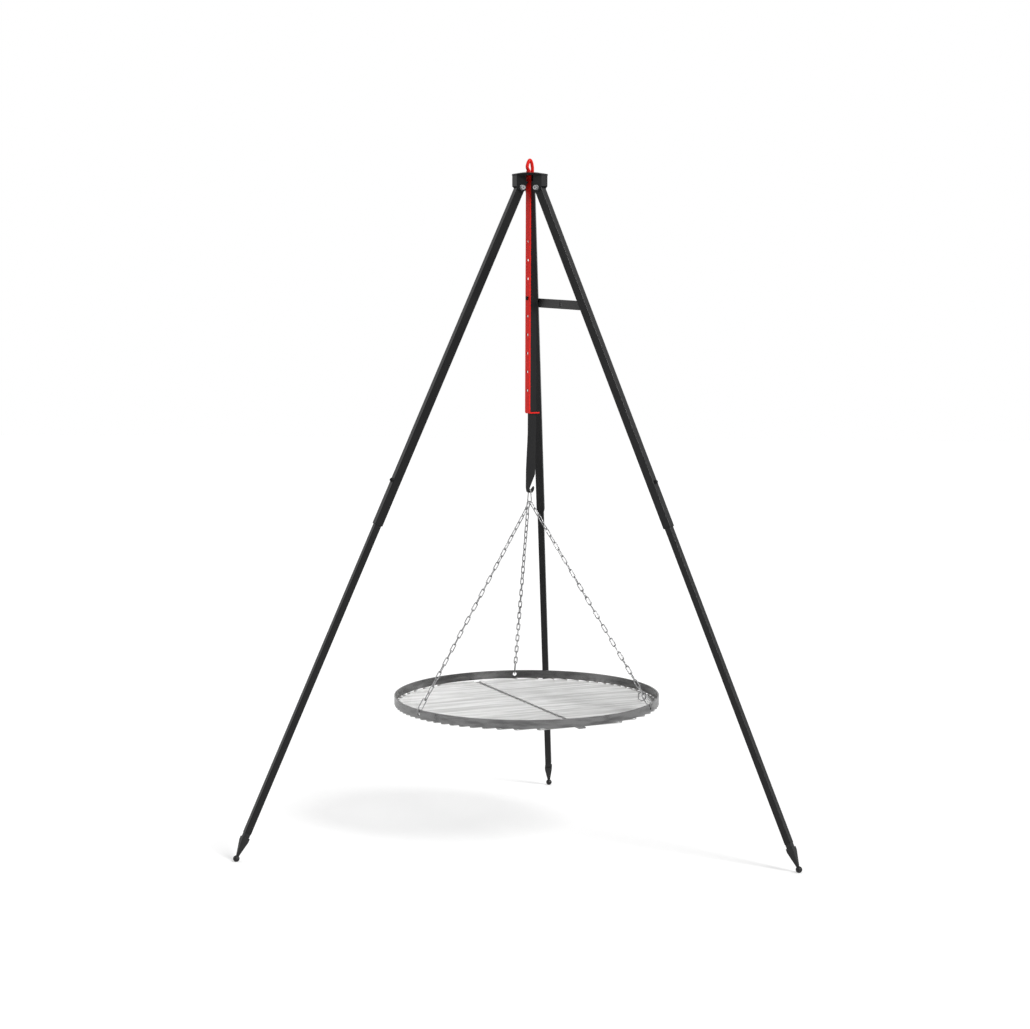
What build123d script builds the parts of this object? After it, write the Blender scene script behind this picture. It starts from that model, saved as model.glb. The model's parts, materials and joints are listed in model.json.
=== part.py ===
"""Campfire tripod with a hanging round grate, in millimetres.

The origin is on the ground under the tripod's axis, +Z is up, +Y points from the axis to the back leg.
"""
import os
from math import asin, atan2, ceil, cos, degrees, hypot, pi, radians, sin, sqrt

from build123d import *

os.makedirs("parts", exist_ok=True)

# Stance: where the legs stand and where they hinge
LEG_AZIMUTHS = {"left": 210, "right": 330, "back": 90}
FOOT_RADIUS = 932.6
FOOT_BALL_HEIGHT = 9
PIVOT_RADIUS = 34
PIVOT_HEIGHT = 1957

# Telescopic legs, square tube in square tube
UPPER_TUBE = 25
LOWER_TUBE = 20
TUBE_WALL = 2
TUBE_CORNER = 2
UPPER_TOP = -22
UPPER_END = 1095
TUBE_OVERLAP = 165
LOCK_ABOVE_END = 138

# Cover plug in the top of each leg
TOP_PLUG_WALL = 2
TOP_PLUG_DEPTH = 12

# Foot: a plug with a square shoulder, a tapering neck and a ball
BALL_RADIUS = 9.5
PLUG_SIDE = 15.8
PLUG_LENGTH = 28
COLLAR_SIDE = 17.6
COLLAR_ROUND = 1
SHOULDER_SIDE = 22.8
SHOULDER_ROUND = 2
NECK_SIDE = 7.5
TUBE_END_ABOVE_BALL = 78
SHOULDER_TOP_ABOVE_BALL = 66
SHOULDER_BASE_ABOVE_BALL = 55
NECK_ABOVE_BALL = 8

# Head
CAP_UNDERSIDE = 1994
CAP_EDGE_TOP = 1998.2
CAP_CROWN = 2003
CAP_FLAT_RADIUS = 24
CAP_OVERHANG = 1
CAP_CORNER = 3
BRACKET_WIDTH = 31.5
BRACKET_SHEET = 3
BRACKET_OUTER_RADIUS = 51.8
WEB_BOTTOM = 1960.6
CHEEK_ROUND = 13
CHEEK_INNER_RADIUS = 21

# Fasteners
BOLT_RADIUS = 4
BOLT_FIT = 0.06
BOLT_HEAD_RADIUS = 6.5
BOLT_HEAD_HEIGHT = 8
BOLT_LENGTH = 45
SOCKET_FLATS = 6
NUT_FLATS = 13
NUT_HEIGHT = 8
WASHER_RADIUS = 7.5
WASHER_THICKNESS = 1.6
LOCK_RADIUS = 3
LOCK_HEAD_RADIUS = 5
LOCK_HEAD_HEIGHT = 4
LOCK_HEAD_CHAMFER = 1
LOCK_SOCKET_FLATS = 4
LOCK_SOCKET_DEPTH = 2.5
LOCK_BOSS_RADIUS = 6
LOCK_BOSS_HEIGHT = 2
LOCK_GAP = 0.2

# Hanger rail: a flat bar with a round loop over the cap and a foot bent back at its lower end
RAIL_AZIMUTH = 44.4
RAIL_WIDTH = 20
RAIL_THICKNESS = 4
RAIL_FRONT = -8.5
RAIL_TOP = 2012
RAIL_FOOT_HEIGHT = 1284
RAIL_FOOT_END = 32
RAIL_BEND_RADIUS = 6
LOOP_BAR = 10
LOOP_TOP = 2044.5
LOOP_MIDDLE = -1.3
LOOP_HALF_SPAN = 10
LOOP_WIDEST_HEIGHT = 2017
LOOP_HALF_SHOULDER = 7
LOOP_SHOULDER_HEIGHT = 2031
HOLE_RADIUS = 4.5
HOLE_COUNT = 9
TOP_HOLE_HEIGHT = 1798
HOLE_PITCH = 55.6
NOSE_HOLE = 4
CAP_SLOT_GAP = 0.2

# Hook plate that hangs on the rail by its nose, which has a tooth over the edge of the hole
PLATE_THICKNESS = 4.5
PLATE_FRONT = -4.2
PLATE_BACK = 24.8
PLATE_TOP_RISE = 8
PLATE_SHOULDER = 14
PLATE_TOP_FALL = 14
GUIDE_GAP = 0.4
NOSE_HEIGHT = 6.4
NOSE_TIP = -14.5
NOSE_DROP = 0.4
TOOTH_FRONT_GAP = 0.6
TOOTH_DEPTH = 4.5
THROAT_HEIGHT = 1052.5
THROAT_REACH = 2.4

# The plate's front edge, its point, the arm that holds the ring, and the throat, from the top down and round
PLATE_SIDE = [(PLATE_BACK, 1225), (22, 1101), (0.1, THROAT_HEIGHT + 5), (0.1, THROAT_HEIGHT),
              (4.7, THROAT_HEIGHT), (17, 1065), (19.2, 1061.5), (17.5, 1052), (11, 1045.5), (-3, 1045.5),
              (-9, 1050), (-11.2, 1062), (-10.6, 1117), (PLATE_FRONT, 1225)]

# Pear-shaped ring in the throat
RING_WIRE = 3.5
RING_WIDTH = 21
RING_TOP_WIDTH = 13.3
RING_PLAY = 1.3
RING_TOP = THROAT_HEIGHT + RING_WIRE + RING_PLAY
RING_BOTTOM = 1013

# Chains and their fittings
CHAIN_WIRE = 3
CHAIN_PITCH = 24
LINK_WIDTH = 12
LINK_PLAY = 0.3
LINK_WOBBLE = 9
WOBBLE_STEP = 2.3
END_LINK_WIDTH = 17
END_LINK_LENGTH = 50
END_LINK_SHIFT = 2
QUICK_LINK_LENGTH = 29
QUICK_LINK_WIDTH = 24
QUICK_LINK_FLAT = 6
QUICK_LINK_BEND = 2.4
QUICK_LINK_RISE = 5.8
QUICK_LINK_SHIFT = 1.5
QUICK_LINK_AZIMUTH = 13

# Grate
GRATE_RADIUS = 400
GRATE_WALL = 4
GRATE_HEIGHT = 25
GRATE_CENTRE = (-5, 0, 436)
GRATE_TILT = 3.16
GRATE_HOLE_RADIUS = 6
GRATE_HOLE_DEPTH = 12
ROD_DIAMETER = 5
ROD_PITCH = 13.8
ROD_COUNT = 56
ROD_AZIMUTH = 28.9
ROD_GAP = 0.8
CROSS_BAR_WIDTH = 22
CROSS_BAR_LENGTH = 780
CROSS_BAR_THICKNESS = 4
CHAIN_HOLES = {"left": 221.9, "back": 99.9, "right": 341.3}
CHAIN_OFFSETS = {"left": 0, "back": -5.4, "right": 5.4}

# Cross stay between the back leg and the right leg
STAY_HEIGHT = 27.5
STAY_THICKNESS = 4
STAY_BACK_Z = 1617.5
STAY_RIGHT_Z = 1605.5
STAY_BACK_GAP = 0.3
STAY_RIGHT_GAP = 6.5
STAY_TAB = 12
STAY_RIGHT_ROOT = 18
STAY_STUD_SHIFT = 5
STAY_STUD_LENGTH = 14
STAY_NUT_HEIGHT = 6.5
STAY_SLOT_LENGTH = 17
STAY_SLOT_WIDTH = 8
NOTCH_RADIUS = 4.9
NOTCH_MOUTH = 22
STUD_HEAD_GAP = 0.6
STUD_HEAD_HEIGHT = 2.5

# How far a cutting shape reaches past what it cuts
CUT_MARGIN = 5
LONG_CUT = 60

leg_run = FOOT_RADIUS - PIVOT_RADIUS
leg_drop = PIVOT_HEIGHT - FOOT_BALL_HEIGHT
leg_length = hypot(leg_run, leg_drop)
leg_angle = degrees(atan2(leg_run, leg_drop))
bore = UPPER_TUBE - 2 * TUBE_WALL
lock_at = UPPER_END - LOCK_ABOVE_END
tube_end = leg_length - TUBE_END_ABOVE_BALL


def radial(azimuth):
    return Vector(cos(radians(azimuth)), sin(radians(azimuth)), 0)


def tangent(azimuth):
    return Vector(-sin(radians(azimuth)), cos(radians(azimuth)), 0)


def leg_plane(azimuth, along=0):
    """Square to a leg: local x along the pivot bolt, local y outwards, local z down the leg."""
    down = radial(azimuth) * sin(radians(leg_angle)) - Vector(0, 0, 1) * cos(radians(leg_angle))
    pivot = radial(azimuth) * PIVOT_RADIUS + Vector(0, 0, PIVOT_HEIGHT)
    return Plane(origin=pivot + down * along, x_dir=tangent(azimuth), z_dir=down)


def side_plane(azimuth, offset=0):
    """Upright plane through the axis: local x outwards along the azimuth, local y up."""
    normal = radial(azimuth).cross(Vector(0, 0, 1))
    return Plane(origin=normal * offset, x_dir=radial(azimuth), z_dir=normal)


def leg_point(azimuth, height):
    """Centre of a leg at a height above the ground."""
    reach = PIVOT_RADIUS + (PIVOT_HEIGHT - height) * leg_run / leg_drop
    return radial(azimuth) * reach + Vector(0, 0, height)


def save(builder, name):
    builder.part.label = name
    export_step(builder.part, f"parts/{name}.step")


def link_wire(length, width, wire):
    """Closed stadium centre line, long way along local x."""
    reach = (length - width) / 2
    half = (width - wire) / 2
    with BuildLine() as line:
        Line((-reach, -half), (reach, -half))
        ThreePointArc((reach, -half), (reach + half, 0), (reach, half))
        Line((reach, half), (-reach, half))
        ThreePointArc((-reach, half), (-reach - half, 0), (-reach, -half))
    return line.line


def link_solid(length, width, wire):
    """Oval link about the origin, in the XY plane."""
    with BuildPart() as link:
        with BuildLine():
            add(link_wire(length, width, wire))
        with BuildSketch(Plane(origin=(0, -(width - wire) / 2, 0), x_dir=(0, 1, 0), z_dir=(1, 0, 0))):
            Circle(wire / 2)
        sweep()
    return link.part


def bar_along(line, bar):
    """Round bar along a line or a closed outline."""
    with BuildPart() as made:
        with BuildSketch(Plane(origin=line @ 0, z_dir=line % 0)):
            Circle(bar / 2)
        sweep(path=line)
    return made.part


# Head
with BuildPart() as head_cap:
    lobe_reach = BRACKET_OUTER_RADIUS + CAP_OVERHANG
    lobe_half = BRACKET_WIDTH / 2 + CAP_OVERHANG
    corners = []
    for azimuth in sorted(LEG_AZIMUTHS.values()):
        for side in (-lobe_half, lobe_half):
            corner = radial(azimuth) * lobe_reach + tangent(azimuth) * side
            corners.append((corner.X, corner.Y))
    with BuildSketch(Plane.XY.offset(CAP_UNDERSIDE)):
        Polygon(*corners, align=None)
    extrude(amount=CAP_CROWN - CAP_UNDERSIDE)
    fillet(head_cap.edges().filter_by(Axis.Z), radius=CAP_CORNER)
    rim = hypot(lobe_reach, lobe_half) + CUT_MARGIN
    slope = (CAP_CROWN - CAP_EDGE_TOP) / (BRACKET_OUTER_RADIUS - CAP_FLAT_RADIUS)
    with BuildSketch(Plane.XZ):
        above = CAP_CROWN + CUT_MARGIN
        Polygon((CAP_FLAT_RADIUS, CAP_CROWN), (rim, CAP_CROWN - slope * (rim - CAP_FLAT_RADIUS)),
                (rim, above), (CAP_FLAT_RADIUS, above), align=None)
    revolve(axis=Axis.Z, mode=Mode.SUBTRACT)
    with BuildSketch(Plane(origin=(0, 0, CAP_UNDERSIDE), x_dir=radial(RAIL_AZIMUTH), z_dir=(0, 0, 1))):
        with Locations((RAIL_FRONT + RAIL_THICKNESS / 2, 0)):
            Rectangle(RAIL_THICKNESS + 2 * CAP_SLOT_GAP, RAIL_WIDTH + 2 * CAP_SLOT_GAP)
    extrude(amount=CAP_CROWN - CAP_UNDERSIDE, mode=Mode.SUBTRACT)
save(head_cap, "head_cap")

inside_web = BRACKET_OUTER_RADIUS - BRACKET_SHEET
below_cheeks = PIVOT_HEIGHT - 2 * CHEEK_ROUND
for leg, azimuth in LEG_AZIMUTHS.items():
    with BuildPart() as bracket:
        with BuildSketch(side_plane(azimuth, -BRACKET_WIDTH / 2)):
            Polygon((CHEEK_INNER_RADIUS, CAP_UNDERSIDE), (CHEEK_INNER_RADIUS, PIVOT_HEIGHT),
                    (BRACKET_OUTER_RADIUS, WEB_BOTTOM), (BRACKET_OUTER_RADIUS, CAP_UNDERSIDE), align=None)
            with Locations((PIVOT_RADIUS, PIVOT_HEIGHT)):
                Circle(CHEEK_ROUND)
            Polygon((PIVOT_RADIUS, PIVOT_HEIGHT - CHEEK_ROUND), (BRACKET_OUTER_RADIUS, WEB_BOTTOM),
                    (PIVOT_RADIUS, CAP_UNDERSIDE), align=None)
        extrude(amount=BRACKET_WIDTH)
        with BuildSketch(side_plane(azimuth, -BRACKET_WIDTH / 2 + BRACKET_SHEET)):
            Polygon((0, below_cheeks), (inside_web, below_cheeks), (inside_web, CAP_UNDERSIDE),
                    (0, CAP_UNDERSIDE), align=None)
        extrude(amount=BRACKET_WIDTH - 2 * BRACKET_SHEET, mode=Mode.SUBTRACT)
        with BuildSketch(side_plane(azimuth, -BRACKET_WIDTH / 2 + BRACKET_SHEET)):
            Polygon((PIVOT_RADIUS, below_cheeks), (BRACKET_OUTER_RADIUS + CUT_MARGIN, below_cheeks),
                    (BRACKET_OUTER_RADIUS + CUT_MARGIN, WEB_BOTTOM), (PIVOT_RADIUS, WEB_BOTTOM), align=None)
        extrude(amount=BRACKET_WIDTH - 2 * BRACKET_SHEET, mode=Mode.SUBTRACT)
        with BuildSketch(side_plane(azimuth, -BRACKET_WIDTH / 2)):
            with Locations((PIVOT_RADIUS, PIVOT_HEIGHT)):
                Circle(BOLT_RADIUS + BOLT_FIT)
        extrude(amount=BRACKET_WIDTH, mode=Mode.SUBTRACT)
    save(bracket, f"leg_bracket_{leg}")

# Heads face the front on the two front legs. Each set is one group of separate solids.
BOLT_SIDES = {"left": 1, "right": -1, "back": -1}


def bolt_plane(leg, distance):
    """Square to a pivot bolt, at a distance from the leg's middle towards the bolt's head."""
    azimuth = LEG_AZIMUTHS[leg]
    outwards = tangent(azimuth) * BOLT_SIDES[leg]
    centre = radial(azimuth) * PIVOT_RADIUS + Vector(0, 0, PIVOT_HEIGHT) + outwards * distance
    return Plane(origin=centre, x_dir=(0, 0, 1), z_dir=outwards)


seat = BRACKET_WIDTH / 2 + WASHER_THICKNESS
with BuildPart() as pivot_bolts:
    for leg in LEG_AZIMUTHS:
        with BuildSketch(bolt_plane(leg, seat - BOLT_LENGTH)):
            Circle(BOLT_RADIUS)
        extrude(amount=BOLT_LENGTH)
        with BuildSketch(bolt_plane(leg, seat)):
            Circle(BOLT_HEAD_RADIUS)
        extrude(amount=BOLT_HEAD_HEIGHT)
        with BuildSketch(bolt_plane(leg, seat + BOLT_HEAD_HEIGHT)):
            RegularPolygon(SOCKET_FLATS / 2, 6, major_radius=False)
        extrude(amount=-BOLT_HEAD_HEIGHT / 2, mode=Mode.SUBTRACT)
save(pivot_bolts, "pivot_bolts")

with BuildPart() as pivot_washers:
    for leg in LEG_AZIMUTHS:
        for start in (BRACKET_WIDTH / 2, -seat):
            with BuildSketch(bolt_plane(leg, start)):
                Circle(WASHER_RADIUS)
                Circle(BOLT_RADIUS + BOLT_FIT, mode=Mode.SUBTRACT)
            extrude(amount=WASHER_THICKNESS)
save(pivot_washers, "pivot_washers")

with BuildPart() as pivot_nuts:
    for leg in LEG_AZIMUTHS:
        with BuildSketch(bolt_plane(leg, -seat - NUT_HEIGHT)):
            RegularPolygon(NUT_FLATS / 2, 6, major_radius=False)
            Circle(BOLT_RADIUS + BOLT_FIT, mode=Mode.SUBTRACT)
        extrude(amount=NUT_HEIGHT)
save(pivot_nuts, "pivot_nuts")

# Legs
for leg, azimuth in LEG_AZIMUTHS.items():
    with BuildPart() as upper_leg:
        with BuildSketch(leg_plane(azimuth, UPPER_TOP)):
            RectangleRounded(UPPER_TUBE, UPPER_TUBE, TUBE_CORNER)
            Rectangle(bore, bore, mode=Mode.SUBTRACT)
        extrude(amount=UPPER_END - UPPER_TOP)
        with BuildSketch(side_plane(azimuth, -UPPER_TUBE)):
            with Locations((PIVOT_RADIUS, PIVOT_HEIGHT)):
                Circle(BOLT_RADIUS + BOLT_FIT)
        extrude(amount=2 * UPPER_TUBE, mode=Mode.SUBTRACT)
        face = leg_plane(azimuth, lock_at)
        with BuildSketch(Plane(origin=face.origin, x_dir=face.x_dir, z_dir=face.y_dir)):
            Circle(LOCK_RADIUS + BOLT_FIT)
        extrude(amount=UPPER_TUBE, mode=Mode.SUBTRACT)
    save(upper_leg, f"upper_leg_{leg}")

    with BuildPart() as top_plug:
        with BuildSketch(leg_plane(azimuth, UPPER_TOP - BRACKET_SHEET)):
            RectangleRounded(UPPER_TUBE, UPPER_TUBE, TUBE_CORNER)
        extrude(amount=BRACKET_SHEET)
        with BuildSketch(leg_plane(azimuth, UPPER_TOP)):
            Rectangle(bore, bore)
            Rectangle(bore - 2 * TOP_PLUG_WALL, bore - 2 * TOP_PLUG_WALL, mode=Mode.SUBTRACT)
        extrude(amount=TOP_PLUG_DEPTH)
    save(top_plug, f"top_plug_{leg}")

    with BuildPart() as lower_leg:
        with BuildSketch(leg_plane(azimuth, UPPER_END - TUBE_OVERLAP)):
            RectangleRounded(LOWER_TUBE, LOWER_TUBE, TUBE_CORNER)
            Rectangle(LOWER_TUBE - 2 * TUBE_WALL, LOWER_TUBE - 2 * TUBE_WALL, mode=Mode.SUBTRACT)
        extrude(amount=tube_end - UPPER_END + TUBE_OVERLAP)
    save(lower_leg, f"lower_leg_{leg}")

    with BuildPart() as foot:
        with BuildSketch(leg_plane(azimuth, tube_end - PLUG_LENGTH)):
            Rectangle(PLUG_SIDE, PLUG_SIDE)
        extrude(amount=PLUG_LENGTH)
        with BuildSketch(leg_plane(azimuth, tube_end)):
            RectangleRounded(COLLAR_SIDE, COLLAR_SIDE, COLLAR_ROUND)
        extrude(amount=TUBE_END_ABOVE_BALL - SHOULDER_TOP_ABOVE_BALL)
        with BuildSketch(leg_plane(azimuth, leg_length - SHOULDER_TOP_ABOVE_BALL)):
            RectangleRounded(SHOULDER_SIDE, SHOULDER_SIDE, SHOULDER_ROUND)
        extrude(amount=SHOULDER_TOP_ABOVE_BALL - SHOULDER_BASE_ABOVE_BALL)
        with BuildSketch(leg_plane(azimuth, leg_length - SHOULDER_BASE_ABOVE_BALL)):
            RectangleRounded(SHOULDER_SIDE, SHOULDER_SIDE, SHOULDER_ROUND)
        with BuildSketch(leg_plane(azimuth, leg_length - NECK_ABOVE_BALL)):
            RectangleRounded(NECK_SIDE, NECK_SIDE, SHOULDER_ROUND)
        loft()
        with Locations(leg_plane(azimuth, leg_length).origin):
            Sphere(BALL_RADIUS)
        with Locations(radial(azimuth) * FOOT_RADIUS):
            Box(LONG_CUT, LONG_CUT, CUT_MARGIN, align=(Align.CENTER, Align.CENTER, Align.MAX),
                mode=Mode.SUBTRACT)
    save(foot, f"foot_{leg}")

    boss_base = UPPER_TUBE / 2
    out = face.y_dir
    with BuildPart() as lock_boss:
        with BuildSketch(Plane(origin=face.origin + out * boss_base, x_dir=face.x_dir, z_dir=out)):
            Circle(LOCK_BOSS_RADIUS)
            Circle(LOCK_RADIUS + BOLT_FIT, mode=Mode.SUBTRACT)
        extrude(amount=LOCK_BOSS_HEIGHT)
    save(lock_boss, f"lock_boss_{leg}")

    tip = LOWER_TUBE / 2 + LOCK_GAP
    head_seat = boss_base + LOCK_BOSS_HEIGHT + LOCK_GAP
    with BuildPart() as lock_screw:
        with BuildSketch(Plane(origin=face.origin + out * tip, x_dir=face.x_dir, z_dir=out)):
            Circle(LOCK_RADIUS)
        extrude(amount=head_seat - tip)
        with BuildSketch(Plane(origin=face.origin + out * head_seat, x_dir=face.x_dir, z_dir=out)):
            Circle(LOCK_HEAD_RADIUS)
        extrude(amount=LOCK_HEAD_HEIGHT)
        chamfer(lock_screw.edges().group_by(Axis(face.origin, out))[-1], LOCK_HEAD_CHAMFER)
        top = face.origin + out * (head_seat + LOCK_HEAD_HEIGHT)
        with BuildSketch(Plane(origin=top, x_dir=face.x_dir, z_dir=out)):
            RegularPolygon(LOCK_SOCKET_FLATS / 2, 6, major_radius=False)
        extrude(amount=-LOCK_SOCKET_DEPTH, mode=Mode.SUBTRACT)
    save(lock_screw, f"lock_screw_{leg}")

# Hanger rail and hook plate
rail_back = RAIL_FRONT + RAIL_THICKNESS
rail_middle = RAIL_FRONT + RAIL_THICKNESS / 2
inner_bend = RAIL_BEND_RADIUS - RAIL_THICKNESS
nose_centre = TOP_HOLE_HEIGHT - (NOSE_HOLE - 1) * HOLE_PITCH - NOSE_DROP
foot_top = RAIL_FOOT_HEIGHT + RAIL_THICKNESS
guide_half = PLATE_THICKNESS / 2 + GUIDE_GAP
guide_end = PLATE_BACK + GUIDE_GAP

with BuildPart() as hanger_rail:
    with BuildSketch(side_plane(RAIL_AZIMUTH, -RAIL_WIDTH / 2)):
        with BuildLine():
            Line((RAIL_FRONT, RAIL_FOOT_HEIGHT + RAIL_BEND_RADIUS), (RAIL_FRONT, RAIL_TOP))
            Line((RAIL_FRONT, RAIL_TOP), (rail_back, RAIL_TOP))
            Line((rail_back, RAIL_TOP), (rail_back, foot_top + inner_bend))
            RadiusArc((rail_back, foot_top + inner_bend), (rail_back + inner_bend, foot_top), -inner_bend)
            Line((rail_back + inner_bend, foot_top), (RAIL_FOOT_END, foot_top))
            Line((RAIL_FOOT_END, foot_top), (RAIL_FOOT_END, RAIL_FOOT_HEIGHT))
            Line((RAIL_FOOT_END, RAIL_FOOT_HEIGHT), (RAIL_FRONT + RAIL_BEND_RADIUS, RAIL_FOOT_HEIGHT))
            RadiusArc((RAIL_FRONT + RAIL_BEND_RADIUS, RAIL_FOOT_HEIGHT),
                      (RAIL_FRONT, RAIL_FOOT_HEIGHT + RAIL_BEND_RADIUS), RAIL_BEND_RADIUS)
        make_face()
    extrude(amount=RAIL_WIDTH)
    across_rail = Plane(origin=(0, 0, 0), x_dir=(0, 0, 1), z_dir=radial(RAIL_AZIMUTH))
    with BuildSketch(across_rail.offset(rail_back)):
        with Locations([(TOP_HOLE_HEIGHT - HOLE_PITCH * step, 0) for step in range(HOLE_COUNT)]):
            Circle(HOLE_RADIUS)
        for edge in (-RAIL_WIDTH / 2, RAIL_WIDTH / 2):
            Polygon((CAP_CROWN, edge), (RAIL_TOP, edge), (RAIL_TOP, edge / 2), align=None)
    extrude(amount=-RAIL_THICKNESS, mode=Mode.SUBTRACT)
    with BuildSketch(side_plane(RAIL_AZIMUTH, -guide_half)):
        Polygon((rail_back, RAIL_FOOT_HEIGHT), (guide_end, RAIL_FOOT_HEIGHT),
                (guide_end, foot_top + RAIL_THICKNESS), (rail_back, foot_top + RAIL_THICKNESS), align=None)
    extrude(amount=2 * guide_half, mode=Mode.SUBTRACT)
    with BuildLine(side_plane(RAIL_AZIMUTH)) as loop:
        Spline((rail_middle, CAP_CROWN + CAP_SLOT_GAP), (LOOP_MIDDLE - LOOP_HALF_SPAN, LOOP_WIDEST_HEIGHT),
               (LOOP_MIDDLE - LOOP_HALF_SHOULDER, LOOP_SHOULDER_HEIGHT),
               (LOOP_MIDDLE, LOOP_TOP - LOOP_BAR / 2),
               (LOOP_MIDDLE + LOOP_HALF_SHOULDER, LOOP_SHOULDER_HEIGHT),
               (LOOP_MIDDLE + LOOP_HALF_SPAN, LOOP_WIDEST_HEIGHT), (LOOP_MIDDLE + LOOP_HALF_SPAN, CAP_CROWN),
               tangents=((0, 1), (0, -1)))
    add(bar_along(loop.line, LOOP_BAR))
save(hanger_rail, "hanger_rail")

with BuildPart() as hook_plate:
    with BuildSketch(side_plane(RAIL_AZIMUTH, -PLATE_THICKNESS / 2)):
        Polygon((PLATE_FRONT, nose_centre + PLATE_TOP_RISE), (PLATE_SHOULDER, nose_centre + NOSE_HEIGHT / 2),
                (PLATE_BACK, nose_centre - PLATE_TOP_FALL), *PLATE_SIDE, align=None)
        with Locations((PLATE_FRONT, nose_centre)):
            Rectangle(PLATE_FRONT - NOSE_TIP, NOSE_HEIGHT, align=(Align.MAX, Align.CENTER))
        tooth_back = RAIL_FRONT - TOOTH_FRONT_GAP
        with Locations((tooth_back, nose_centre)):
            Rectangle(tooth_back - NOSE_TIP, NOSE_HEIGHT / 2 + TOOTH_DEPTH, align=(Align.MAX, Align.MAX))
    extrude(amount=PLATE_THICKNESS)
save(hook_plate, "hook_plate")

# Ring and chains
ring_bar = radial(RAIL_AZIMUTH).cross(Vector(0, 0, 1))
ring_bend = (RING_WIDTH - RING_WIRE) / 2
ring_top_bend = (RING_TOP_WIDTH - RING_WIRE) / 2
low_centre = RING_BOTTOM + RING_WIRE / 2 + ring_bend
high_centre = RING_TOP - RING_WIRE / 2 - ring_top_bend
lean = asin((ring_bend - ring_top_bend) / (high_centre - low_centre))
low_side = (ring_bend * cos(lean), low_centre + ring_bend * sin(lean))
high_side = (ring_top_bend * cos(lean), high_centre + ring_top_bend * sin(lean))
ring_normal = ring_bar.cross(Vector(0, 0, 1))
ring_plane = Plane(origin=radial(RAIL_AZIMUTH) * THROAT_REACH, x_dir=ring_bar, z_dir=ring_normal)
with BuildLine(ring_plane) as ring_line:
    ThreePointArc((-low_side[0], low_side[1]), (0, low_centre - ring_bend), low_side)
    Line(low_side, high_side)
    ThreePointArc(high_side, (0, high_centre + ring_top_bend), (-high_side[0], high_side[1]))
    Line((-high_side[0], high_side[1]), (-low_side[0], low_side[1]))
with BuildPart() as top_ring:
    add(bar_along(ring_line.line, RING_WIRE))
save(top_ring, "top_ring")

rim_normal = (0, -sin(radians(GRATE_TILT)), cos(radians(GRATE_TILT)))
tilt = Plane(origin=GRATE_CENTRE, x_dir=(1, 0, 0), z_dir=rim_normal)
wall_middle = GRATE_RADIUS - GRATE_WALL / 2
link_rest = CHAIN_WIRE / 2
hook_depth = GRATE_HOLE_DEPTH - GRATE_HOLE_RADIUS + link_rest


def grate_point(azimuth, reach, depth):
    """A point of the grate, at a depth below the rim's top edge."""
    return tilt.from_local_coords(radial(azimuth) * reach - Vector(0, 0, depth))


def chain_frame(leg):
    """Start, end and direction of a chain, and the sideways direction of its first and last links."""
    offset = CHAIN_OFFSETS[leg]
    level = sqrt(ring_bend ** 2 - offset ** 2)
    start_height = RING_BOTTOM + RING_WIRE / 2 + ring_bend - level
    start = radial(RAIL_AZIMUTH) * THROAT_REACH + ring_bar * offset + Vector(0, 0, start_height)
    wire_direction = (ring_bar * level + Vector(0, 0, offset)) / ring_bend
    end = grate_point(CHAIN_HOLES[leg], wall_middle, hook_depth)
    along = (end - start).normalized()
    first_side = wire_direction.cross(along).normalized()
    hole_axis = tilt.from_local_coords(radial(CHAIN_HOLES[leg])) - tilt.origin
    last_side = (hole_axis - along * hole_axis.dot(along)).normalized()
    return start, end, along, first_side, last_side


def place_link(solid, centre, along, side):
    return Plane(origin=centre, x_dir=along, z_dir=along.cross(side)).location * solid


chain_link = link_solid(CHAIN_PITCH + 2 * CHAIN_WIRE + LINK_PLAY, LINK_WIDTH, CHAIN_WIRE)
end_link = link_solid(END_LINK_LENGTH, END_LINK_WIDTH, CHAIN_WIRE)
link_inner = CHAIN_PITCH + LINK_PLAY
end_inner = END_LINK_LENGTH - 2 * CHAIN_WIRE

for leg in LEG_AZIMUTHS:
    start, end, along, first_side, last_side = chain_frame(leg)
    span = (end - start).length
    first_centre = link_inner / 2 - RING_WIRE / 2 - LINK_PLAY
    end_centre = span - end_inner / 2 + link_rest
    chain_end = end_centre - end_inner / 2 + CHAIN_WIRE
    room = chain_end - CHAIN_WIRE / 2 - link_inner / 2 - first_centre
    steps = ceil(room / CHAIN_PITCH)
    pitch = room / steps
    across = along.cross(first_side)
    last_turn = degrees(atan2(last_side.dot(across), last_side.dot(first_side))) + 90
    twist = (last_turn - 90 * steps + 90) % 180 - 90
    print(leg, "chain", round(span, 1), "mm,", steps + 1, "links at", round(pitch, 2), "mm")
    with BuildPart() as chain:
        for number in range(steps + 1):
            wobble = LINK_WOBBLE * sin(WOBBLE_STEP * number + span) * sin(pi * number / steps)
            turn = radians(90 * number + twist * number / steps + wobble)
            side = first_side * cos(turn) + across * sin(turn)
            add(place_link(chain_link, start + along * (first_centre + pitch * number), along, side))
    save(chain, f"chain_{leg}")

    with BuildPart() as hanger_link:
        shifted = start + along * end_centre + last_side * END_LINK_SHIFT
        add(place_link(end_link, shifted, along, last_side))
    save(hanger_link, f"end_link_{leg}")

    if leg == "right":
        quick_hang = start + along * (end_centre - end_inner / 2 - CHAIN_WIRE / 2 - QUICK_LINK_RISE)
        quick_hang += radial(QUICK_LINK_AZIMUTH) * QUICK_LINK_SHIFT

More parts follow.
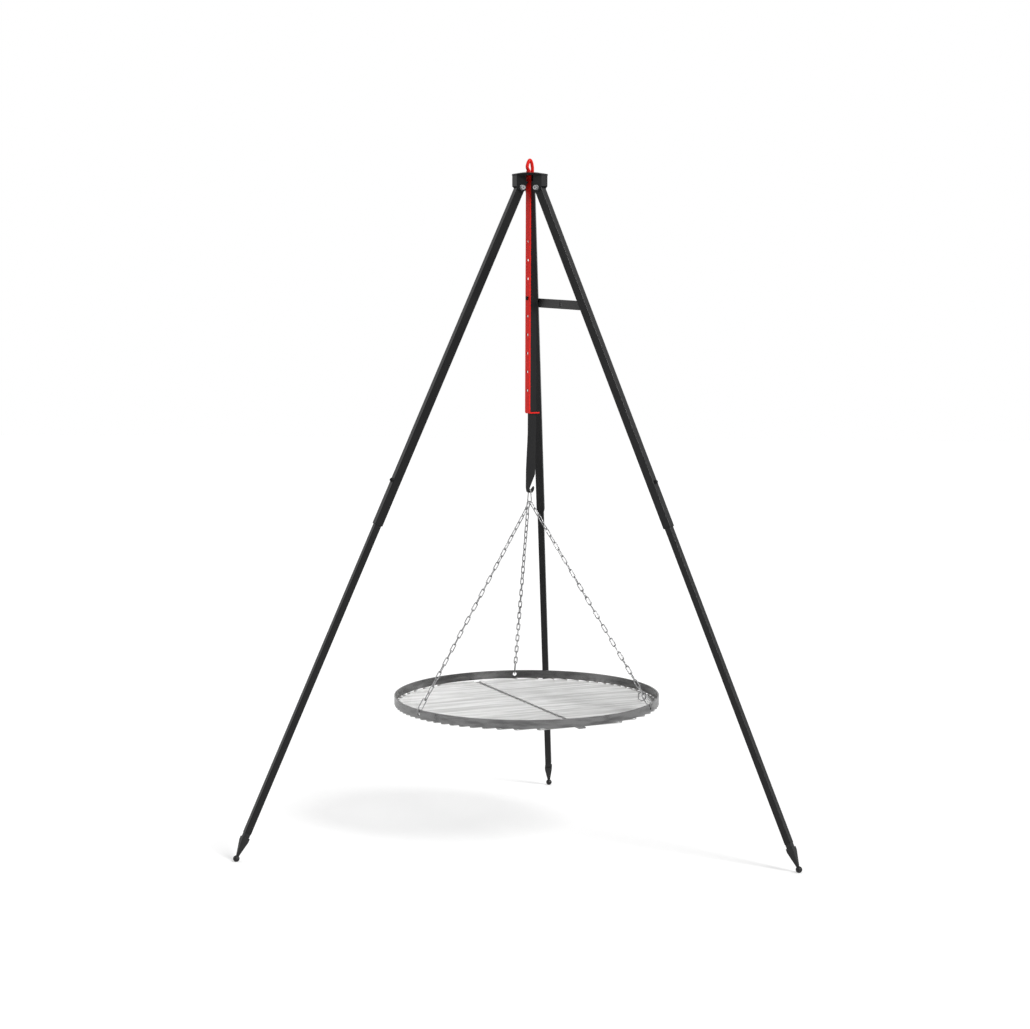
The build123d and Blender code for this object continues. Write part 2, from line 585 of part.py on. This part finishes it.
# Spare quick link that hangs in the last link of the right chain
half_length = (QUICK_LINK_LENGTH - CHAIN_WIRE) / 2
half_width = (QUICK_LINK_WIDTH - CHAIN_WIRE) / 2
half_flat = QUICK_LINK_FLAT / 2
quick_centre = quick_hang - Vector(0, 0, half_length)
with BuildLine(Plane(origin=quick_centre, x_dir=(0, 0, 1), z_dir=tangent(QUICK_LINK_AZIMUTH))) as outline:
    FilletPolyline((half_length, -half_flat), (half_length, half_flat), (half_length / 2, half_width),
                   (-half_length / 2, half_width), (-half_length, half_flat), (-half_length, -half_flat),
                   (-half_length / 2, -half_width), (half_length / 2, -half_width),
                   radius=QUICK_LINK_BEND, close=True)
with BuildPart() as quick_link:
    add(bar_along(outline.line, CHAIN_WIRE))
save(quick_link, "quick_link")

# Grate
with BuildPart() as grate_ring:
    with BuildSketch(tilt):
        Circle(GRATE_RADIUS)
        Circle(GRATE_RADIUS - GRATE_WALL, mode=Mode.SUBTRACT)
    extrude(amount=-GRATE_HEIGHT)
    for azimuth in CHAIN_HOLES.values():
        centre = grate_point(azimuth, wall_middle - 2 * GRATE_WALL, GRATE_HOLE_DEPTH)
        outwards = grate_point(azimuth, wall_middle, GRATE_HOLE_DEPTH) - centre
        with BuildSketch(Plane(origin=centre, z_dir=outwards)):
            Circle(GRATE_HOLE_RADIUS)
        extrude(amount=4 * GRATE_WALL, mode=Mode.SUBTRACT)
save(grate_ring, "grate_ring")

bend = ROD_PITCH / 2
rod_depth = GRATE_HEIGHT + ROD_DIAMETER / 2
rod_direction = grate_point(ROD_AZIMUTH, 1, 0) - tilt.origin
rod_frame = Plane(origin=tilt.origin - tilt.z_dir * rod_depth, x_dir=rod_direction, z_dir=tilt.z_dir)
inner_centre = ROD_GAP / 2 + ROD_DIAMETER / 2 + bend


def rod_line(side):
    """Centre line of half the grate's rod: straight runs joined by turns at the rim and in the middle."""
    first = -(ROD_COUNT - 1) / 2 * ROD_PITCH
    here = (side * inner_centre, first)
    with BuildLine() as line:
        for number in range(ROD_COUNT):
            across = first + number * ROD_PITCH
            outward = number % 2 == 0
            pair_middle = across + (bend if outward else -bend)
            rim_reach = side * (sqrt((GRATE_RADIUS - GRATE_WALL) ** 2 - pair_middle ** 2) - bend)
            there = (rim_reach if outward else side * inner_centre, across)
            Line(here, there)
            if number == ROD_COUNT - 1:
                break
            here = (there[0], across + ROD_PITCH)
            swell = side * bend if outward else -side * bend
            ThreePointArc(there, (there[0] + swell, across + bend), here)
    return line.line


for name, side in (("left", -1), ("right", 1)):
    with BuildPart() as rods:
        add(bar_along(rod_frame.from_local_coords(rod_line(side)), ROD_DIAMETER))
    save(rods, f"grate_rods_{name}")

with BuildPart() as cross_bar:
    with BuildSketch(rod_frame.offset(-ROD_DIAMETER / 2)):
        Rectangle(CROSS_BAR_WIDTH, CROSS_BAR_LENGTH)
    extrude(amount=-CROSS_BAR_THICKNESS)
save(cross_bar, "grate_cross_bar")

# Cross stay
back_side = UPPER_TUBE / 2 + STAY_BACK_GAP
right_side = UPPER_TUBE / 2 + STAY_RIGHT_GAP
pivot_point = leg_point(LEG_AZIMUTHS["back"], STAY_BACK_Z)
rest_point = leg_point(LEG_AZIMUTHS["right"], STAY_RIGHT_Z)
along_right = radial(LEG_AZIMUTHS["right"])
off_right = tangent(LEG_AZIMUTHS["right"])
stud_point = rest_point - along_right * STAY_STUD_SHIFT
tab_start = Vector(back_side, pivot_point.Y + STAY_TAB, 0)
tab_bend = Vector(back_side, pivot_point.Y - STAY_TAB, 0)
rest_flat = Vector(rest_point.X, rest_point.Y, 0) + off_right * right_side
rest_bend = rest_flat - along_right * STAY_RIGHT_ROOT
rest_end = rest_flat + along_right * STAY_TAB


def shifted_outline(points, thickness):
    """Closed outline of a bent sheet whose near face follows the points."""
    far = []
    for index, point in enumerate(points):
        before = (point - points[index - 1]).normalized() if index else None
        after = (points[index + 1] - point).normalized() if index + 1 < len(points) else None
        direction = (before + after).normalized() if before and after else (before or after)
        normal = Vector(-direction.Y, direction.X, 0)
        stretch = 1 / normal.dot(Vector(-(after or before).Y, (after or before).X, 0))
        far.append(point + normal * thickness * stretch)
    return [(point.X, point.Y) for point in list(points) + far[::-1]]


low = STAY_RIGHT_Z - STAY_HEIGHT
with BuildPart() as cross_stay:
    with BuildSketch(Plane.XY.offset(low)):
        Polygon(*shifted_outline([tab_start, tab_bend, rest_bend, rest_end], STAY_THICKNESS), align=None)
    extrude(amount=2 * STAY_HEIGHT)
    run = rest_bend - tab_bend
    middle = (tab_bend + rest_bend) * 0.5
    square_off = run.normalized().cross(Vector(0, 0, 1))
    level = Plane(origin=middle - square_off * LONG_CUT, x_dir=run, z_dir=square_off)
    half_run = run.length / 2 + LONG_CUT
    fall = (STAY_BACK_Z - STAY_RIGHT_Z) / (run.length + 2 * STAY_TAB) * half_run
    centre_z = (STAY_BACK_Z + STAY_RIGHT_Z) / 2
    half_bar = STAY_HEIGHT / 2
    with BuildSketch(level):
        Polygon((-half_run, centre_z + fall - half_bar), (half_run, centre_z - fall - half_bar),
                (half_run, centre_z - fall + half_bar), (-half_run, centre_z + fall + half_bar), align=None)
    extrude(amount=2 * LONG_CUT, mode=Mode.INTERSECT)
    with BuildSketch(Plane(origin=(0, pivot_point.Y, STAY_BACK_Z), x_dir=(0, 1, 0), z_dir=(1, 0, 0))):
        Circle(BOLT_RADIUS + BOLT_FIT)
    extrude(amount=LONG_CUT, mode=Mode.SUBTRACT)
    notch = Plane(origin=stud_point, x_dir=along_right, z_dir=off_right)
    with BuildSketch(notch):
        Circle(NOTCH_RADIUS)
        Polygon((-NOTCH_RADIUS, 0), (NOTCH_RADIUS, 0), (NOTCH_MOUTH / 2, STAY_HEIGHT),
                (-NOTCH_MOUTH / 2, STAY_HEIGHT), align=None)
        slant = STAY_HEIGHT * leg_run / leg_drop
        lip = STAY_STUD_SHIFT + STAY_TAB - slant / 2
        Polygon((lip - slant, -STAY_HEIGHT), (lip + STAY_HEIGHT, -STAY_HEIGHT),
                (lip + STAY_HEIGHT, STAY_HEIGHT), (lip + slant, STAY_HEIGHT), align=None)
    extrude(amount=LONG_CUT, mode=Mode.SUBTRACT)
    with BuildSketch(level):
        with Locations((0, centre_z)):
            SlotOverall(STAY_SLOT_LENGTH, STAY_SLOT_WIDTH, rotation=90)
    extrude(amount=2 * LONG_CUT, mode=Mode.SUBTRACT)
save(cross_stay, "cross_stay")

with BuildPart() as pivot_stud:
    with BuildSketch(Plane(origin=(UPPER_TUBE / 2, pivot_point.Y, STAY_BACK_Z), z_dir=(1, 0, 0))):
        Circle(BOLT_RADIUS)
    extrude(amount=STAY_STUD_LENGTH)
save(pivot_stud, "stay_pivot_stud")

with BuildPart() as stay_nut:
    nut_seat = back_side + STAY_THICKNESS + STAY_BACK_GAP
    with BuildSketch(Plane(origin=(nut_seat, pivot_point.Y, STAY_BACK_Z), z_dir=(1, 0, 0))):
        RegularPolygon(NUT_FLATS / 2, 6, major_radius=False)
        Circle(BOLT_RADIUS, mode=Mode.SUBTRACT)
    extrude(amount=STAY_NUT_HEIGHT)
save(stay_nut, "stay_nut")

with BuildPart() as rest_stud:
    stud_root = stud_point + off_right * (UPPER_TUBE / 2)
    with BuildSketch(Plane(origin=stud_root, x_dir=along_right, z_dir=off_right)):
        Circle(BOLT_RADIUS)
    stud_length = STAY_RIGHT_GAP + STAY_THICKNESS + STUD_HEAD_GAP
    extrude(amount=stud_length)
    with BuildSketch(Plane(origin=stud_root + off_right * stud_length, x_dir=along_right, z_dir=off_right)):
        Circle(BOLT_HEAD_RADIUS)
    extrude(amount=STUD_HEAD_HEIGHT)
save(rest_stud, "stay_rest_stud")
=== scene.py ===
import json
from math import cos, pi, radians, sin

import bmesh
import bpy
from mathutils import Matrix, Vector, noise

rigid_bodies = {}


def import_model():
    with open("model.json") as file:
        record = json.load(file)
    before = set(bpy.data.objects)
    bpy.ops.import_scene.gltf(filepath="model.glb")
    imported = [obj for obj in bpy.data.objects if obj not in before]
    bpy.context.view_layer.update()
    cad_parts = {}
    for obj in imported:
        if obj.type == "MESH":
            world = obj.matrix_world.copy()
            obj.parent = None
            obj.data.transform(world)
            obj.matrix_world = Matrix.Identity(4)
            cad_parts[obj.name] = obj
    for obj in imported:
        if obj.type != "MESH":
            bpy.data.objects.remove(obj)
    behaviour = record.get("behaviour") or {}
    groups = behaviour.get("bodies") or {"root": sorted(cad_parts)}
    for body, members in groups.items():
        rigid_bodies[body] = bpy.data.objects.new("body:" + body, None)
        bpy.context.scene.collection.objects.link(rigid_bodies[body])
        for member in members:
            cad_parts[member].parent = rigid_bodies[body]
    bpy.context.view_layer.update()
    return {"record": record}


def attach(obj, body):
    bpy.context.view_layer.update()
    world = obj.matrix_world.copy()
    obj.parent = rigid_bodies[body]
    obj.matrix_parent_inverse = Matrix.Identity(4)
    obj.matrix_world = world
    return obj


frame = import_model()


class Value:
    # one output of a shader node; sums and products on it add their own Math nodes
    def __init__(self, tree, socket):
        self.tree = tree
        self.socket = socket

    def math(self, operation, first, second):
        node = self.tree.nodes.new("ShaderNodeMath")
        node.operation = operation
        plug(self.tree, node.inputs[0], first)
        plug(self.tree, node.inputs[1], second)
        return Value(self.tree, node.outputs[0])

    def __add__(self, other):
        return self.math("ADD", self, other)

    def __sub__(self, other):
        return self.math("SUBTRACT", self, other)

    def __rsub__(self, other):
        return self.math("SUBTRACT", other, self)

    def __mul__(self, other):
        return self.math("MULTIPLY", self, other)

    __radd__ = __add__
    __rmul__ = __mul__


def plug(tree, target, value):
    if isinstance(value, Value):
        tree.links.new(value.socket, target)
    elif isinstance(value, tuple) and target.type == "RGBA":
        target.default_value = (*value, 1)
    else:
        target.default_value = value


class Shader:
    # the node tree of one material or of the world
    def __init__(self, owner):
        owner.use_nodes = True
        self.owner = owner
        self.tree = owner.node_tree

    def node(self, kind, settings=None, sockets=None, output=0):
        made = self.tree.nodes.new(kind)
        for key, value in (settings or {}).items():
            setattr(made, key, value)
        for key, value in (sockets or {}).items():
            plug(self.tree, made.inputs[key], value)
        return Value(self.tree, made.outputs[output])

    def specks(self, size, detail=3.0, roughness=0.5, stretch=(1, 1, 1), turn=0.0):
        # size is that of a speck in metres, and stretch says how much longer it is along each axis
        place = self.node("ShaderNodeTexCoord", output="Object")
        turned = self.node("ShaderNodeMapping", {"vector_type": "TEXTURE"},
                           {"Vector": place, "Scale": stretch, "Rotation": (0, 0, radians(turn))})
        return self.node("ShaderNodeTexNoise", sockets={"Vector": turned, "Scale": 1 / size,
                                                        "Detail": detail, "Roughness": roughness})

    def step(self, value, low, high):
        return self.node("ShaderNodeMapRange", {"interpolation_type": "SMOOTHSTEP"},
                         {"Value": value, "From Min": low, "From Max": high})

    def blend(self, share, first, second):
        # the colour sockets of a Mix node share their names with others, so they go by number
        return self.node("ShaderNodeMix", {"data_type": "RGBA"}, {0: share, 6: first, 7: second}, output=2)

    def finish(self, kind, sockets):
        for key, value in sockets.items():
            plug(self.tree, self.tree.nodes[kind].inputs[key], value)


camera = {
    "distance": 8.0008,
    "height": 1.528,
    "azimuth": 4.37,
    "heading": -4.67,
    "pitch": -3.92,
    "roll": 0.19,
    "focalPixels": 2663.6,
    "imageWidth": 1030,
    "sensor": 36,
}


def makeCamera():
    heading = radians(camera["heading"])
    pitch = radians(camera["pitch"])
    roll = radians(camera["roll"])
    forward = Vector((sin(heading) * cos(pitch), cos(heading) * cos(pitch), sin(pitch)))
    level = Vector((cos(heading), -sin(heading), 0))
    upright = level.cross(forward)
    right = level * cos(roll) + upright * sin(roll)
    up = upright * cos(roll) - level * sin(roll)
    azimuth = radians(camera["azimuth"])
    place = Vector((sin(azimuth), -cos(azimuth), 0)) * camera["distance"] + Vector((0, 0, camera["height"]))
    data = bpy.data.cameras.new("camera")
    data.sensor_fit = "HORIZONTAL"
    data.sensor_width = camera["sensor"]
    data.lens = camera["focalPixels"] / camera["imageWidth"] * camera["sensor"]
    made = bpy.data.objects.new("camera", data)
    turn = Matrix((right, up, -forward)).transposed()
    made.matrix_world = Matrix.Translation(place) @ turn.to_4x4()
    bpy.context.scene.collection.objects.link(made)
    bpy.context.scene.camera = made


studio = {
    "floorSize": 60,
    "floorColor": (0.8, 0.8, 0.8),
    "floorGlow": 0.35,
    "darkSide": 0.1,
    "lightSide": 0.66,
    "darkFrom": -0.75,
    "lightFrom": 0.1,
    "suns": [
        {"name": "key", "from": (0.75, -0.8, 0.85), "energy": 1.9, "angle": 18},
        {"name": "fill", "from": (-0.8, -0.6, 0.5), "energy": 0.35, "angle": 60},
    ],
}


def makeFloor():
    half = studio["floorSize"] / 2
    mesh = bpy.data.meshes.new("floor")
    corners = [(-half, -half, 0), (half, -half, 0), (half, half, 0), (-half, half, 0)]
    mesh.from_pydata(corners, [], [(0, 1, 2, 3)])
    floor = bpy.data.objects.new("floor", mesh)
    bpy.context.scene.collection.objects.link(floor)
    shader = Shader(bpy.data.materials.new("floor"))
    seen = shader.node("ShaderNodeLightPath", output="Is Camera Ray")
    glow = shader.blend(seen, (0, 0, 0), (studio["floorGlow"],) * 3)
    shader.finish("Principled BSDF", {"Base Color": studio["floorColor"], "Roughness": 1.0,
                                      "Specular IOR Level": 0.0, "Emission Color": glow,
                                      "Emission Strength": 1.0})
    mesh.materials.append(shader.owner)


def makeLight():
    # a white cyclorama round the object, with the dark of the room behind the camera
    scene = bpy.context.scene
    scene.view_settings.view_transform = "Standard"
    scene.world = bpy.data.worlds.new("studio")
    sky = Shader(scene.world)
    direction = sky.node("ShaderNodeTexCoord", output="Generated")
    depth = sky.node("ShaderNodeSeparateXYZ", sockets={"Vector": direction}, output="Y")
    bright = sky.step(depth, studio["darkFrom"], studio["lightFrom"])
    light = bright * (studio["lightSide"] - studio["darkSide"]) + studio["darkSide"]
    seen = sky.node("ShaderNodeLightPath", output="Is Camera Ray")
    sky.finish("Background", {"Color": (1.0, 1.0, 1.0), "Strength": light * (1 - seen) + seen})
    for sun in studio["suns"]:
        data = bpy.data.lights.new(sun["name"], "SUN")
        data.energy = sun["energy"]
        data.angle = radians(sun["angle"])
        lamp = bpy.data.objects.new(sun["name"], data)
        lamp.rotation_euler = Vector(sun["from"]).to_track_quat("Z", "Y").to_euler()
        scene.collection.objects.link(lamp)


makeCamera()
makeFloor()
makeLight()
print("camera, floor and light")


def makeLook(name, look):
    # two shades in clouds, a roughness that follows them and a fine grain in the bump
    shader = Shader(bpy.data.materials.new(name))
    cloud = shader.specks(**look["cloud"])
    grain = shader.specks(**look["grain"])
    tint = look["color"]
    if "second" in look:
        share = shader.step(cloud, *look["edge"]) * look.get("share", 1.0)
        tint = shader.blend(share, look["color"], look["second"])
    smooth, spread = look["roughness"]
    bump = shader.node("ShaderNodeBump", sockets={"Height": grain, "Strength": look["bump"],
                                                  "Distance": look["depth"]})
    shader.finish("Principled BSDF", {"Base Color": tint, "Roughness": cloud * spread + smooth,
                                      "Normal": bump, **look.get("fixed", {})})
    return shader.owner


blackPaint = {
    "color": (0.0085, 0.0085, 0.009),
    "second": (0.013, 0.013, 0.0135),
    "edge": (0.45, 0.75),
    "share": 0.7,
    "cloud": {"size": 0.12, "detail": 5.0},
    "grain": {"size": 0.0016, "detail": 2.0},
    "roughness": (0.25, 0.14),
    "bump": 0.14,
    "depth": 0.0002,
    "fixed": {"Specular IOR Level": 0.36},
}
redPaint = {
    "color": (0.9, 0.012, 0.006),
    "second": (0.78, 0.009, 0.005),
    "edge": (0.5, 0.8),
    "share": 0.6,
    "cloud": {"size": 0.03},
    "grain": {"size": 0.003, "detail": 2.0},
    "roughness": (0.3, 0.1),
    "bump": 0.08,
    "depth": 0.0002,
    "fixed": {"Coat Weight": 0.12, "Coat Roughness": 0.08, "Specular IOR Level": 0.25},
}
blackPlastic = {
    "color": (0.011, 0.011, 0.0115),
    "cloud": {"size": 0.02},
    "grain": {"size": 0.0007, "detail": 2.0},
    "roughness": (0.38, 0.2),
    "bump": 0.25,
    "depth": 0.0002,
}
zincPlate = {
    "color": (0.72, 0.72, 0.73),
    "second": (0.5, 0.5, 0.51),
    "edge": (0.35, 0.7),
    "cloud": {"size": 0.006, "detail": 4.0},
    "grain": {"size": 0.0006, "detail": 2.0},
    "roughness": (0.32, 0.2),
    "bump": 0.15,
    "depth": 0.0001,
    "fixed": {"Metallic": 0.85},
}
# the rods' grinding marks and their own shades run along them
rodSteel = {
    "color": (0.62, 0.62, 0.615),
    "second": (0.44, 0.44, 0.435),
    "edge": (0.36, 0.66),
    "cloud": {"size": 0.011, "detail": 4.0, "roughness": 0.65, "stretch": (30, 1, 1), "turn": 28.9},
    "grain": {"size": 0.0008, "detail": 2.0, "stretch": (12, 1, 1), "turn": 28.9},
    "roughness": (0.28, 0.25),
    "bump": 0.15,
    "depth": 0.0001,
    "fixed": {"Metallic": 0.9},
}
chainSteel = {
    "color": (0.46, 0.46, 0.465),
    "second": (0.24, 0.24, 0.245),
    "edge": (0.4, 0.72),
    "cloud": {"size": 0.012, "detail": 4.0},
    "grain": {"size": 0.0008, "detail": 2.0},
    "roughness": (0.28, 0.22),
    "bump": 0.2,
    "depth": 0.0001,
    "fixed": {"Metallic": 0.9},
}
# the rim's sheet was rolled lengthwise
rimSteel = {
    "color": (0.29, 0.29, 0.29),
    "second": (0.19, 0.19, 0.19),
    "edge": (0.4, 0.7),
    "cloud": {"size": 0.06, "detail": 5.0, "stretch": (1, 1, 0.2)},
    "grain": {"size": 0.001, "stretch": (20, 20, 1)},
    "roughness": (0.12, 0.2),
    "bump": 0.12,
    "depth": 0.0001,
    "fixed": {"Metallic": 1.0},
}
# the welds of the grate keep a brown bloom from the heat
weldSteel = {
    "color": (0.5, 0.49, 0.47),
    "second": (0.2, 0.17, 0.17),
    "edge": (0.4, 0.6),
    "cloud": {"size": 0.003},
    "grain": {"size": 0.0005, "detail": 2.0},
    "roughness": (0.35, 0.2),
    "bump": 0.3,
    "depth": 0.0002,
    "fixed": {"Metallic": 0.8},
}
materials = {
    "black_paint": makeLook("black_paint", blackPaint),
    "red_paint": makeLook("red_paint", redPaint),
    "black_plastic": makeLook("black_plastic", blackPlastic),
    "zinc": makeLook("zinc", zincPlate),
    "bright_steel": makeLook("bright_steel", rodSteel),
    "chain_steel": makeLook("chain_steel", chainSteel),
    "grate_steel": makeLook("grate_steel", rimSteel),
    "weld_steel": makeLook("weld_steel", weldSteel),
}
# the flat bar under the rods takes the darker rim steel: painted shade for the shade it lies in under the
# rods
paintedShadeLook = {"grate_cross_bar": "grate_steel"}
for part in frame["record"]["subparts"]:
    node = bpy.data.objects[part["node"]]
    node.data.materials.clear()
    node.data.materials.append(materials[paintedShadeLook.get(part["node"], part["material_slot"])])
print("materials")


def around(azimuth):
    return Vector((cos(radians(azimuth)), sin(radians(azimuth)), 0))


def asPiece(name, data, look, body):
    piece = bpy.data.objects.new(name, data)
    bpy.context.scene.collection.objects.link(piece)
    data.materials.append(materials[look])
    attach(piece, body)
    return piece


bead = {"thickness": 0.0011, "ripple": 0.0021, "swell": 0.2, "stops": 4}


def addBead(name, corners, body, closed=False, thickness=bead["thickness"]):
    # a weld run along straight or turned lines, thicker and thinner at every stop of the torch
    spacing = bead["ripple"] / bead["stops"]
    points = []
    ends = corners[1:] + corners[:1] if closed else corners[1:]
    for start, end in zip(corners, ends):
        count = max(1, round((end - start).length / spacing))
        points += [start.lerp(end, index / count) for index in range(count)]
    if not closed:
        points.append(corners[-1])
    curve = bpy.data.curves.new(name, "CURVE")
    curve.dimensions = "3D"
    curve.bevel_depth = thickness
    curve.bevel_resolution = 2
    curve.use_fill_caps = not closed
    run = curve.splines.new("POLY")
    run.points.add(len(points) - 1)
    run.use_cyclic_u = closed
    for index, point in enumerate(points):
        run.points[index].co = (*point, 1)
        run.points[index].radius = 1 + bead["swell"] * sin(2 * pi * index / bead["stops"])
    return asPiece(name, curve, "black_paint", body)


def ring(centre, axis, radius, corners=24):
    side = axis.orthogonal().normalized()
    other = axis.cross(side).normalized()
    turns = [2 * pi * index / corners for index in range(corners)]
    return [centre + (side * cos(turn) + other * sin(turn)) * radius for turn in turns]


legs = {
    "azimuths": {"left": 210, "right": 330, "back": 90},
    "pivotRadius": 0.034,
    "pivotHeight": 1.957,
    "footRadius": 0.9326,
    "footHeight": 0.009,
    "upperHalf": 0.0125,
    "lockAlong": 0.957,
    "bossRadius": 0.006,
    "studHeight": 1.6055,
    "studInward": 0.005,
    "studRadius": 0.004,
}
bracket = {"inner": 0.0215, "outer": 0.0518, "halfWidth": 0.01575, "underCap": 1.994}


def legPoint(azimuth, along):
    top = around(azimuth) * legs["pivotRadius"] + Vector((0, 0, legs["pivotHeight"]))
    foot = around(azimuth) * legs["footRadius"] + Vector((0, 0, legs["footHeight"]))
    return top + (foot - top).normalized() * along, (foot - top).normalized()


def addFrameWelds():
    for leg, azimuth in legs["azimuths"].items():
        outward = around(azimuth)
        aside = around(azimuth + 90) * bracket["halfWidth"]
        height = Vector((0, 0, bracket["underCap"] - bead["thickness"] / 2))
        corners = [outward * bracket["inner"] - aside, outward * bracket["outer"] - aside,
                   outward * bracket["outer"] + aside, outward * bracket["inner"] + aside]
        addBead(f"bracket_weld_{leg}", [corner + height for corner in corners], "head")
        place, down = legPoint(azimuth, legs["lockAlong"])
        out = around(azimuth + 90).cross(down).normalized()
        out = out if out.z > 0 else -out
        addBead(f"boss_weld_{leg}", ring(place + out * legs["upperHalf"], out, legs["bossRadius"]),
                f"{leg}_upper", closed=True)
    drop = legs["pivotHeight"] - legs["studHeight"]
    slope = (legs["footRadius"] - legs["pivotRadius"]) / (legs["pivotHeight"] - legs["footHeight"])
    outward = around(legs["azimuths"]["right"])
    aside = around(legs["azimuths"]["right"] + 90)
    root = outward * (legs["pivotRadius"] + drop * slope - legs["studInward"]) + aside * legs["upperHalf"]
    addBead("stud_weld", ring(root + Vector((0, 0, legs["studHeight"])), aside, legs["studRadius"]),
            "right_upper", closed=True)


addFrameWelds()
print("welds of the frame")


grate = {
    "centre": (-0.005, 0, 0.436),
    "tilt": 3.16,
    "rimInside": 0.396,
    "rimDepth": 0.025,
    "rodTop": 0.025,
    "barTop": 0.03,
    "rodAzimuth": 28.9,
    "rodPitch": 0.0138,
    "rodCount": 56,
    "rimSpot": (0.0045, 0.0016, 0.0018),
    "barSpot": (0.0034, 0.0026, 0.0022),
    "lumps": 0.0007,
    "lumpSize": 0.003,
}


def addSpots(name, spots, body):
    # small uneven lumps of weld: each spot is its place, the way it lies and its half sizes
    mesh = bmesh.new()
    for place, along, up, size in spots:
        across = up.cross(along)
        made = bmesh.ops.create_icosphere(mesh, subdivisions=2, radius=1)
        for vertex in made["verts"]:
            flat = Vector(vertex.co[index] * size[index] for index in range(3))
            point = place + along * flat.x + across * flat.y + up * flat.z
            vertex.co = point + noise.noise_vector(point / grate["lumpSize"]) * grate["lumps"]
    data = bpy.data.meshes.new(name)
    mesh.to_mesh(data)
    mesh.free()
    data.polygons.foreach_set("use_smooth", [True] * len(data.polygons))
    return asPiece(name, data, "weld_steel", body)


def addGrateWelds():
    tilt = radians(grate["tilt"])
    up = Vector((0, -sin(tilt), cos(tilt)))
    middle = Vector(grate["centre"])
    turn = radians(grate["rodAzimuth"])
    toBack = up.cross(Vector((1, 0, 0)))
    along = Vector((1, 0, 0)) * cos(turn) + toBack * sin(turn)
    across = up.cross(along)
    rimSpots = []
    barSpots = []
    for number in range(grate["rodCount"] - 1):
        offset = (number + 1 - grate["rodCount"] / 2) * grate["rodPitch"]
        if number % 2:
            barSpots.append((middle + across * offset - up * grate["barTop"], across, up, grate["barSpot"]))
            continue
        reach = (grate["rimInside"] ** 2 - offset ** 2) ** 0.5
        for side in (-1, 1):
            place = along * (reach * side) + across * offset
            inward = place.normalized()
            rimSpots.append((middle + place - up * grate["rodTop"], up.cross(inward), up, grate["rimSpot"]))
    addSpots("rim_welds", rimSpots, "grate")
    addSpots("bar_welds", barSpots, "grate")


addGrateWelds()
print("welds of the grate")
